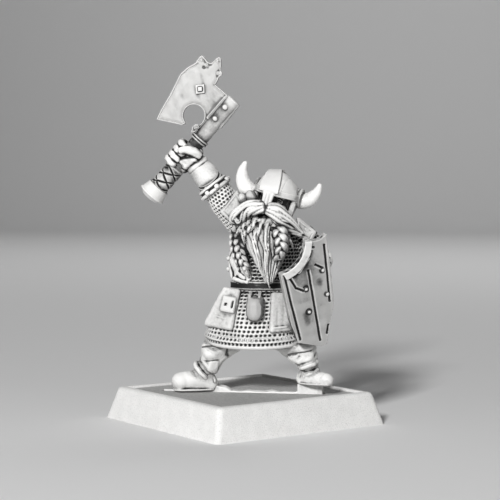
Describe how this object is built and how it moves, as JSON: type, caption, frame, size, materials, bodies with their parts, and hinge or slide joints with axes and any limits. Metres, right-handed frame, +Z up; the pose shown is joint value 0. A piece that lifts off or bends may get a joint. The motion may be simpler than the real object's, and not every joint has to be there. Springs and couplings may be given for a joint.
{
  "type": "painted miniature figure",
  "caption": "Bearded warrior miniature in mail and a horned helmet, raising an axe and holding a shield, with a cast tab that plugs into a slotted square base.",
  "frame": {"origin": "centre of the underside of the base, on the table", "axes": "+Z up, +X along the base's slot towards the warrior's left hand, -Y the way the warrior faces"},
  "size_m": [0.0354, 0.0354, 0.045],
  "materials": {
    "base_plastic": "moulded plastic base, evenly painted pale grey with a fine grain",
    "bare_white_metal": "cast white metal, left unpainted where it plugs in and brushed with primer above",
    "primed_leather": "matt primer over leather sculpted in white metal, thin dark wash in the seams",
    "primed_cloth": "matt primer over sculpted cloth folds",
    "primed_mail": "matt primer over sculpted mail, dark wash between the rings",
    "primed_steel": "smooth satin primer over sculpted plate and blade",
    "primed_skin": "matt primer over the sculpted face",
    "primed_hair": "matt primer over sculpted hair, dark wash between the locks",
    "primed_horn": "smooth satin primer over sculpted horn",
    "primed_wood": "mid grey primer over sculpted boards and haft"
  },
  "bodies": {
    "base": {"slotted_base": "base_plastic"},
    "figure": {"cast_tab": "bare_white_metal", "right_boot": "primed_leather", "left_boot": "primed_leather", "right_boot_cuff": "primed_leather", "left_boot_cuff": "primed_leather", "right_trouser_leg": "primed_cloth", "left_trouser_leg": "primed_cloth", "mail_skirt": "primed_mail", "mail_hem": "primed_mail", "torso": "primed_mail", "waist_belt": "primed_leather", "belt_pouch": "primed_leather", "hip_satchel": "primed_leather", "satchel_buckle": "primed_steel", "left_tasset": "primed_leather", "vest_flank": "primed_leather", "vest_studs": "primed_steel", "right_pauldron": "primed_steel", "left_pauldron": "primed_steel", "right_mail_sleeve": "primed_mail", "right_gauntlet_cuff": "primed_leather", "right_gauntlet": "primed_leather", "right_fist": "primed_leather", "left_arm": "primed_mail", "left_fist": "primed_leather", "shield_peg": "bare_white_metal", "head": "primed_skin", "nose": "primed_skin", "beard": "primed_hair", "right_moustache": "primed_hair", "left_moustache": "primed_hair", "right_braid": "primed_hair", "left_braid": "primed_hair", "right_cheek_guard": "primed_steel", "left_cheek_guard": "primed_steel", "helmet_bowl": "primed_steel", "helmet_crest": "primed_steel", "helmet_brow_band": "primed_steel", "nasal_guard": "primed_steel", "right_horn": "primed_horn", "left_horn": "primed_horn", "right_horn_collar": "primed_steel", "left_horn_collar": "primed_steel", "axe_haft": "primed_wood", "grip_wrap": "primed_leather", "axe_pommel": "primed_steel", "haft_collar": "primed_steel", "axe_head": "primed_steel", "axe_boss": "primed_steel", "axe_studs": "primed_steel"},
    "shield": {"shield_board": "primed_wood", "shield_rim": "primed_steel", "shield_studs": "primed_steel", "shield_socket": "primed_wood", "shield_straps": "primed_wood"}
  },
  "joints": [
    {"name": "figure_lift", "type": "slide", "parent": "base", "child": "figure", "axis": [0, 0, 1], "range_m": [0, 0.006]},
    {"name": "shield_pull", "type": "slide", "parent": "figure", "child": "shield", "axis": [0.483, -0.8365, -0.2588], "range_m": [0, 0.003]}
  ]
}
